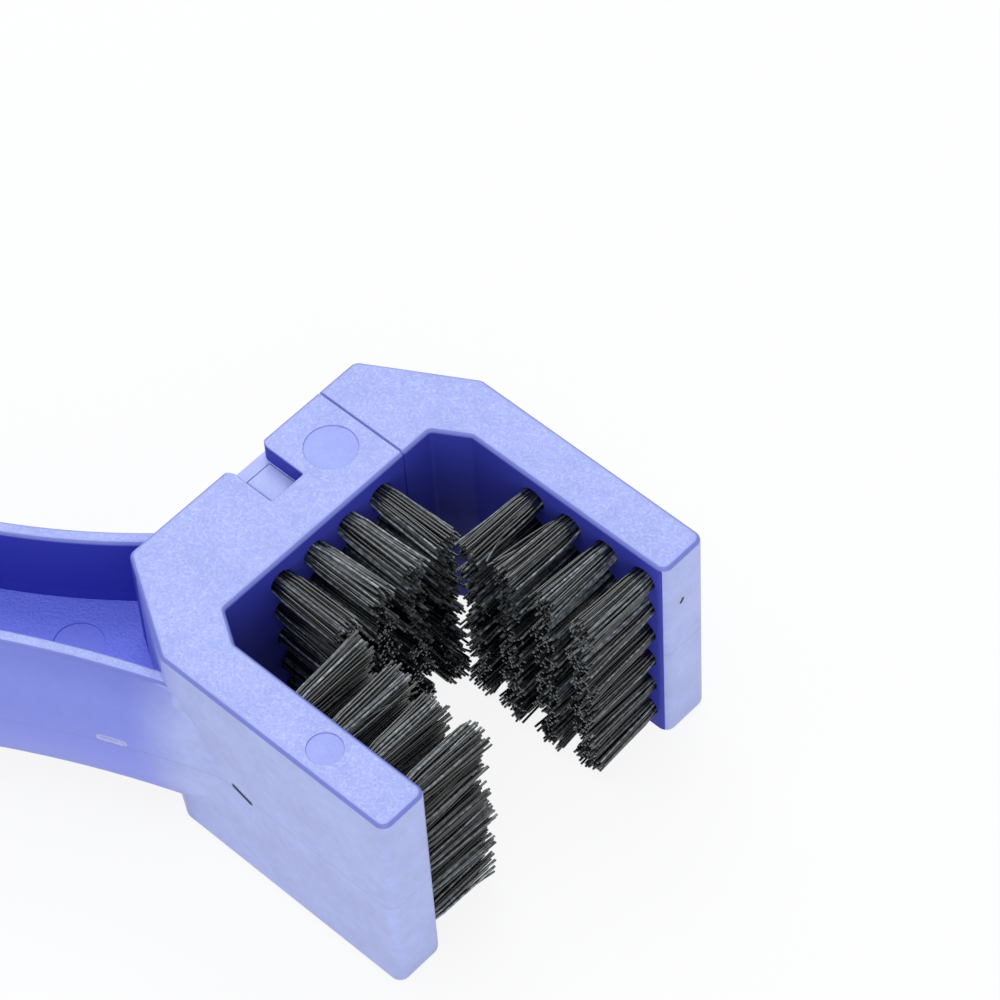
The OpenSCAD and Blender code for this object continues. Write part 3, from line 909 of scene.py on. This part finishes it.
def mark_cutters():
    """Cutters for the ejector marks and for the hanging hole."""
    head = head_matrix()
    cutters = []
    for u, v, radius in (BACK_MARK, ARM_MARK):
        place = head @ Matrix.Translation((u, v, HEAD_HEIGHT))
        cutters.append(recess("mark", place, radius, MARK_DEPTH, MARK_FLARE, MARK_SIDES))
    through = WEB_THICKNESS + BEYOND
    for spot, depth, flare in ((WEB_MARK, MARK_DEPTH, MARK_FLARE), (HANG_HOLE, through, HANG_FLARE)):
        top = Matrix.Translation((spot[0], spot[1], WEB_TOP))
        cutters.append(recess("mark", top, spot[2], depth, flare, MARK_SIDES))
    return cutters


def handle_and_head(settings):
    """The fixed half of the head with the handle and the tail pad."""
    rim = settings.edge_round
    body = head_half("handle_and_head", -1, SEAM, rim)
    flanges = [flange("far", FAR_FLARE, 1, True), flange("near", NEAR_FLARE, -1, False)]
    combine(body, flanges + [web(), tail_pad(PAD_ROUND_SHARE * rim)], "UNION")
    socket = box("socket", *SOCKET)
    socket.data.transform(head_matrix())
    cutters = [socket] + mark_cutters()
    for wall, _, matrix, pitch in walls():
        if wall != "far_arm":
            cutters += tuft_holes(matrix, pitch)
    combine(body, cutters, "DIFFERENCE")
    combine(body, [notch_cutter()], "DIFFERENCE")
    combine(body, [window_cutter()], "DIFFERENCE")
    return body


def slide_off_arm(settings):
    """The removable half of the head with its tongue."""
    arm = head_half("slide_off_arm", 1, SEAM + SEAM_GAP, settings.edge_round)
    low, high = TONGUE
    bevel = TONGUE_BEVEL
    loop = outline((
        (low.x + bevel, low.y, 0), (high.x, low.y, 0), (high.x, high.y, 0),
        (low.x + bevel, high.y, 0), (low.x, high.y - bevel, 0), (low.x, low.y + bevel, 0)))
    tongue = rounded_prism("tongue", loop, low.z, high.z, TONGUE_RIM)
    tongue.data.transform(head_matrix())
    combine(arm, [tongue], "UNION")
    matrix, pitch = [(wall[2], wall[3]) for wall in walls() if wall[0] == "far_arm"][0]
    combine(arm, tuft_holes(matrix, pitch), "DIFFERENCE")
    return arm


def snap_finger(settings):
    """The latch finger, a welded copy of its solid with rounded edges."""
    form = bmesh.new()
    form.from_mesh(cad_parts["latch_finger"].data)
    bmesh.ops.remove_doubles(form, verts=form.verts, dist=WELD)
    bmesh.ops.dissolve_limit(form, angle_limit=FLAT_ANGLE, verts=form.verts, edges=form.edges)
    edges = [edge for edge in form.edges if edge.calc_face_angle() > EDGE_ANGLE]
    round_edges(form, edges, settings.latch_round)
    mesh = bpy.data.meshes.new("snap_finger")
    form.to_mesh(mesh)
    form.free()
    return placed("snap_finger", mesh)


def smooth_shaded(piece):
    """Shade a piece smooth but for its sharp edges, with normals led by its large faces."""
    form = bmesh.new()
    form.from_mesh(piece.data)
    for face in form.faces:
        face.smooth = True
    for edge in form.edges:
        edge.smooth = len(edge.link_faces) == 2 and edge.calc_face_angle() < SMOOTH_ANGLE
    form.to_mesh(piece.data)
    form.free()
    shading = piece.modifiers.new("Shading", "WEIGHTED_NORMAL")
    shading.keep_sharp = True


class CHAIN_CLEANER_OT_mouldings(bpy.types.Operator):
    """Make the handle with its fixed head half, the slide-off arm and the latch finger"""
    bl_idname = "chain_cleaner.mouldings"
    bl_label = "Make Mouldings"

    def execute(self, context):
        settings = context.scene.chain_cleaner_mouldings
        material = plastic_material("blue_plastic", settings)
        pieces = (
            (handle_and_head(settings), "handle_body", "body"),
            (slide_off_arm(settings), "removable_arm", "arm"),
            (snap_finger(settings), "latch_finger", "latch"),
        )
        for piece, node, body in pieces:
            smooth_shaded(piece)
            piece.data.materials.clear()
            piece.data.materials.append(material)
            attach(piece, body)
            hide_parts(node)
        return {"FINISHED"}


def filament_tree(material, measures):
    """A node tree that grows tufts of filaments in rows and columns, out along z, to these measures."""
    tree = bpy.data.node_groups.new("Bristle Wall", "GeometryNodeTree")
    tree.interface.new_socket("Geometry", in_out="OUTPUT", socket_type="NodeSocketGeometry")
    for name, value in measures.items():
        kind = "NodeSocketInt" if isinstance(value, int) else "NodeSocketFloat"
        tree.interface.new_socket(name, in_out="INPUT", socket_type=kind).default_value = value
    given = tree.nodes.new("NodeGroupInput").outputs

    def op(operation, first, second=0.0):
        return maths(tree, operation, first, second)

    def vec(operation, first, second=(0.0, 0.0, 0.0), scale=None):
        return vector_maths(tree, operation, first, second, scale)

    def draw(low, high, number, offset):
        node = tree.nodes.new("FunctionNodeRandomValue")
        node.data_type = "FLOAT"
        node.inputs["Min"].default_value, node.inputs["Max"].default_value = 0.0, 1.0
        values = {socket.identifier: socket for socket in node.inputs}
        values["Min_001"].default_value = low
        values["Max_001"].default_value = high
        join(tree, op("ADD", number, 0.5), node.inputs["ID"])
        join(tree, op("ADD", given["Seed"], offset), node.inputs["Seed"])
        return {socket.identifier: socket for socket in node.outputs}["Value_001"]

    def point(*parts):
        node = tree.nodes.new("ShaderNodeCombineXYZ")
        for part, socket in zip(parts, node.inputs):
            join(tree, part, socket)
        return node.outputs[0]

    def parted(value, count):
        """How many whole counts a numbered thing is past, and its number in its own count."""
        whole = op("FLOOR", op("DIVIDE", op("ADD", value, 0.5), count))
        return whole, op("SUBTRACT", value, op("MULTIPLY", whole, count))

    def centred(number, count, pitch):
        """The place of a numbered row or column, with the middle of them all at 0."""
        middle = op("DIVIDE", op("SUBTRACT", count, 1.0), 2.0)
        return op("MULTIPLY", op("SUBTRACT", number, middle), pitch)

    def scattered(number, first, size):
        """A sideways move by two draws, each of up to a size; first is the first draw's own number."""
        sideways = point(draw(-1, 1, number, first), draw(-1, 1, number, first + 1), 0.0)
        return vec("SCALE", sideways, scale=size)

    line = tree.nodes.new("GeometryNodeCurvePrimitiveLine")
    points = add_node(
        tree, "GeometryNodeResampleCurve", {"Count": FILAMENT_POINTS, "Curve": line.outputs["Curve"]})
    tufts = op("MULTIPLY", given["Columns"], given["Rows"])
    amount = op("MULTIPLY", tufts, given["Filaments"])
    copies = tree.nodes.new("GeometryNodeDuplicateElements")
    copies.domain = "SPLINE"
    join(tree, points.outputs["Curve"], copies.inputs["Geometry"])
    join(tree, amount, copies.inputs["Amount"])

    index = tree.nodes.new("GeometryNodeInputIndex").outputs[0]
    filament, step = parted(index, FILAMENT_POINTS)
    along = op("DIVIDE", step, FILAMENT_POINTS - 1)
    tuft, number = parted(filament, given["Filaments"])
    row, column = parted(tuft, given["Columns"])
    centre_x = centred(column, given["Columns"], given["Column Pitch"])
    centre_y = centred(row, given["Rows"], given["Row Pitch"])

    angle = op("ADD", op("MULTIPLY", number, GOLDEN_ANGLE), draw(0.0, 2 * math.pi, tuft, 1))
    share = op("SQRT", op("DIVIDE", op("ADD", number, 0.5), given["Filaments"]))
    radial = vec("SCALE", point(op("COSINE", angle), op("SINE", angle), 0.0), scale=share)
    foot = vec("SCALE", radial, scale=given["Root Radius"])

    stray = op("GREATER_THAN", draw(0.0, 1.0, filament, 2), STRAY_FROM)
    loose = op("MULTIPLY", given["Wander"], op("ADD", op("MULTIPLY", stray, STRAY_FACTOR), 1.0))
    scatter = scattered(filament, 3, loose)
    sway = scattered(tuft, 5, given["Wander"])
    lean = vec("ADD", vec("SCALE", radial, scale=given["Lean"]), vec("ADD", scatter, sway))
    lean = vec("SCALE", lean, scale=op("POWER", along, 1.5))
    bow = op("MULTIPLY", op("SINE", op("MULTIPLY", along, math.pi)), op("MULTIPLY", loose, BOW_SHARE))
    bow = scattered(filament, 7, bow)

    uneven = op("MULTIPLY", op("ADD", draw(-1, 1, filament, 9), draw(-0.5, 0.5, tuft, 10)), given["Ragged"])
    reach = op("ADD", op("ADD", given["Length"], given["Root Depth"]), uneven)
    rise = op("SUBTRACT", op("MULTIPLY", along, reach), given["Root Depth"])
    opened = maths(tree, "DIVIDE", op("ADD", rise, FLARE_START), FLARE_RUN, clamp=True)
    eased = op("MULTIPLY", op("MULTIPLY", opened, opened), op("SUBTRACT", 3.0, op("MULTIPLY", opened, 2.0)))
    flare = vec("SCALE", radial, scale=op("MULTIPLY", eased, given["Flare"]))
    offset = vec("ADD", vec("ADD", foot, flare), vec("ADD", lean, bow))
    place = vec("ADD", point(centre_x, centre_y, rise), offset)
    sockets = {"Geometry": copies.outputs["Geometry"], "Position": place}
    shape = add_node(tree, "GeometryNodeSetPosition", sockets).outputs["Geometry"]
    for name, value in (("tone", draw(0.0, 1.0, filament, 11)), ("along", along)):
        store = tree.nodes.new("GeometryNodeStoreNamedAttribute")
        store.data_type = "FLOAT"
        store.domain = "POINT"
        for socket, held in (("Name", name), ("Geometry", shape), ("Value", value)):
            join(tree, held, store.inputs[socket])
        shape = store.outputs["Geometry"]

    sockets = {"Resolution": FILAMENT_SIDES, "Radius": given["Filament Radius"]}
    profile = add_node(tree, "GeometryNodeCurvePrimitiveCircle", sockets).outputs["Curve"]
    sockets = {"Curve": shape, "Profile Curve": profile, "Fill Caps": True}
    mesh = add_node(tree, "GeometryNodeCurveToMesh", sockets).outputs["Mesh"]
    whole = add_node(tree, "GeometryNodeRealizeInstances", {"Geometry": mesh}).outputs["Geometry"]
    sockets = {"Geometry": whole, "Material": material}
    coloured = add_node(tree, "GeometryNodeSetMaterial", sockets).outputs["Geometry"]
    add_node(tree, "NodeGroupOutput", {"Geometry": coloured})
    return tree


def grown_piece(context, name, tree, values, matrix):
    """Grow a node tree with these values in place of its own, and keep a plain mesh of it."""
    seedbed = placed(name + "_seedbed", bpy.data.meshes.new(name + "_seedbed"))
    growth = seedbed.modifiers.new("Growth", "NODES")
    growth.node_group = tree
    for item in tree.interface.items_tree:
        if item.in_out == "INPUT" and item.name in values:
            growth[item.identifier] = values[item.name]
    evaluated = seedbed.evaluated_get(context.evaluated_depsgraph_get())
    mesh = bpy.data.meshes.new_from_object(evaluated)
    bpy.data.objects.remove(seedbed)
    mesh.name = name
    mesh.transform(matrix)
    return placed(name, mesh)


class CHAIN_CLEANER_OT_bristles(bpy.types.Operator):
    """Grow the filament tufts of the head's three walls and of the tail pad"""
    bl_idname = "chain_cleaner.bristles"
    bl_label = "Grow Bristles"

    def execute(self, context):
        settings = context.scene.chain_cleaner_bristles
        radius = settings.filament_width / 2
        measures = {
            "Columns": COLUMNS,
            "Column Pitch": ARM_PITCH,
            "Rows": ROWS,
            "Row Pitch": ROW_PITCH,
            "Filaments": settings.filaments,
            "Filament Radius": radius,
            "Root Radius": HOLE_RADIUS - radius,
            "Root Depth": ROOT_DEPTH,
            "Length": settings.head_length,
            "Flare": settings.flare,
            "Lean": settings.lean,
            "Wander": settings.wander,
            "Ragged": settings.ragged,
            "Seed": settings.seed,
        }
        tree = filament_tree(nylon_material("black_nylon", settings), measures)
        for number, (wall, body, matrix, pitch) in enumerate(walls()):
            values = {"Column Pitch": pitch, "Seed": settings.seed + SEED_STEP * number}
            if wall == "tail":
                values["Length"] = settings.tail_length
            piece = grown_piece(context, wall + "_bristles", tree, values, matrix)
            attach(piece, body)
            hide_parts(*(f"{wall}_tufts_{column + 1}" for column in range(COLUMNS)))
        return {"FINISHED"}


class CHAIN_CLEANER_OT_anchors(bpy.types.Operator):
    """Give the tufts' wire anchors their metal finish"""
    bl_idname = "chain_cleaner.anchors"
    bl_label = "Finish Anchors"

    def execute(self, context):
        material = wire_material("anchor_wire")
        for node in ("near_arm_anchors", "back_wall_anchors", "far_arm_anchors", "tail_anchors"):
            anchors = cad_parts[node]
            anchors.data.materials.clear()
            anchors.data.materials.append(material)
        return {"FINISHED"}


def floor_material(settings):
    """A pale floor that the camera sees near white, and that still takes the object's shadow."""
    material, blend = new_material("pale_floor", "ShaderNodeMixShader")
    tree = material.node_tree
    diffuse = add_node(tree, "ShaderNodeBsdfDiffuse", {"Color": shade(settings.floor_colour, 1.0)})
    glow = add_node(tree, "ShaderNodeEmission", {"Color": WHITE})
    join(tree, product(tree, background_rays(tree), BACKGROUND_SHARE), blend.inputs[0])
    join(tree, diffuse.outputs[0], blend.inputs[1])
    join(tree, glow.outputs[0], blend.inputs[2])
    return material


def add_lamp(name, place, aim, width, watts, colour):
    """A square area lamp aimed at a point."""
    lamp = bpy.data.lights.new(name, "AREA")
    lamp.color = colour
    lamp.shape = "SQUARE"
    lamp.size = width
    lamp.energy = watts
    holder = placed(name, lamp)
    holder.location = place
    holder.rotation_euler = (aim - place).to_track_quat("-Z", "Y").to_euler()


class CHAIN_CLEANER_OT_stage(bpy.types.Operator):
    """Set the floor, the lamps, the surround and the camera"""
    bl_idname = "chain_cleaner.stage"
    bl_label = "Set Stage"

    def execute(self, context):
        settings = context.scene.chain_cleaner_stage
        scene = context.scene
        scene.view_settings.view_transform = "Standard"
        mesh = bpy.data.meshes.new("floor")
        half = settings.floor_width / 2
        corners = [(-half, -half, 0), (half, -half, 0), (half, half, 0), (-half, half, 0)]
        mesh.from_pydata(corners, [], [(0, 1, 2, 3)])
        mesh.materials.append(floor_material(settings))
        placed("floor", mesh)

        world = bpy.data.worlds.new("surround")
        world.use_nodes = True
        tree = world.node_tree
        backdrop = tree.nodes["Background"]
        sockets = {"Factor": background_rays(tree), "A": settings.sky_strength, "B": 1.0}
        strength = add_node(tree, "ShaderNodeMix", sockets)
        join(tree, strength.outputs["Result"], backdrop.inputs["Strength"])
        backdrop.inputs["Color"].default_value = WHITE
        scene.world = world

        for name, power_name, aim, offset, width in LAMPS:
            add_lamp(name, aim + offset, aim, width, getattr(settings, power_name), settings.light_colour)

        camera = bpy.data.cameras.new("camera")
        camera.lens = CAMERA_LENS
        camera.sensor_width = CAMERA_SENSOR
        camera.clip_start = 0.01
        holder = placed("camera", camera)
        look = (CAMERA_AIM - CAMERA_PLACE).to_track_quat("-Z", "Y").to_matrix().to_4x4()
        roll = Matrix.Rotation(CAMERA_ROLL, 4, "Z")
        holder.matrix_world = Matrix.Translation(CAMERA_PLACE) @ look @ roll
        scene.camera = holder
        return {"FINISHED"}


class CHAIN_CLEANER_PT_panel(bpy.types.Panel):
    """The chain cleaner's settings and its steps"""
    bl_idname = "CHAIN_CLEANER_PT_panel"
    bl_label = "Chain Cleaner"
    bl_space_type = "VIEW_3D"
    bl_region_type = "UI"
    bl_category = "Chain Cleaner"

    def draw(self, context):
        groups = (
            (context.scene.chain_cleaner_mouldings, ("chain_cleaner.mouldings",)),
            (context.scene.chain_cleaner_bristles, ("chain_cleaner.bristles", "chain_cleaner.anchors")),
            (context.scene.chain_cleaner_stage, ("chain_cleaner.stage",)),
        )
        for settings, steps in groups:
            box = self.layout.box()
            for name in settings.__annotations__:
                box.prop(settings, name)
            for step in steps:
                box.operator(step)


CLASSES = (
    MouldingSettings,
    BristleSettings,
    StageSettings,
    CHAIN_CLEANER_OT_mouldings,
    CHAIN_CLEANER_OT_bristles,
    CHAIN_CLEANER_OT_anchors,
    CHAIN_CLEANER_OT_stage,
    CHAIN_CLEANER_PT_panel,
)


def register():
    for each in CLASSES:
        bpy.utils.register_class(each)
    bpy.types.Scene.chain_cleaner_mouldings = PointerProperty(type=MouldingSettings)
    bpy.types.Scene.chain_cleaner_bristles = PointerProperty(type=BristleSettings)
    bpy.types.Scene.chain_cleaner_stage = PointerProperty(type=StageSettings)


def unregister():
    del bpy.types.Scene.chain_cleaner_stage
    del bpy.types.Scene.chain_cleaner_bristles
    del bpy.types.Scene.chain_cleaner_mouldings
    for each in reversed(CLASSES):
        bpy.utils.unregister_class(each)


def main():
    """Register the add-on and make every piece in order."""
    register()
    bpy.ops.chain_cleaner.stage()
    bpy.ops.chain_cleaner.mouldings()
    bpy.ops.chain_cleaner.bristles()
    bpy.ops.chain_cleaner.anchors()


if __name__ == "__main__":
    main()
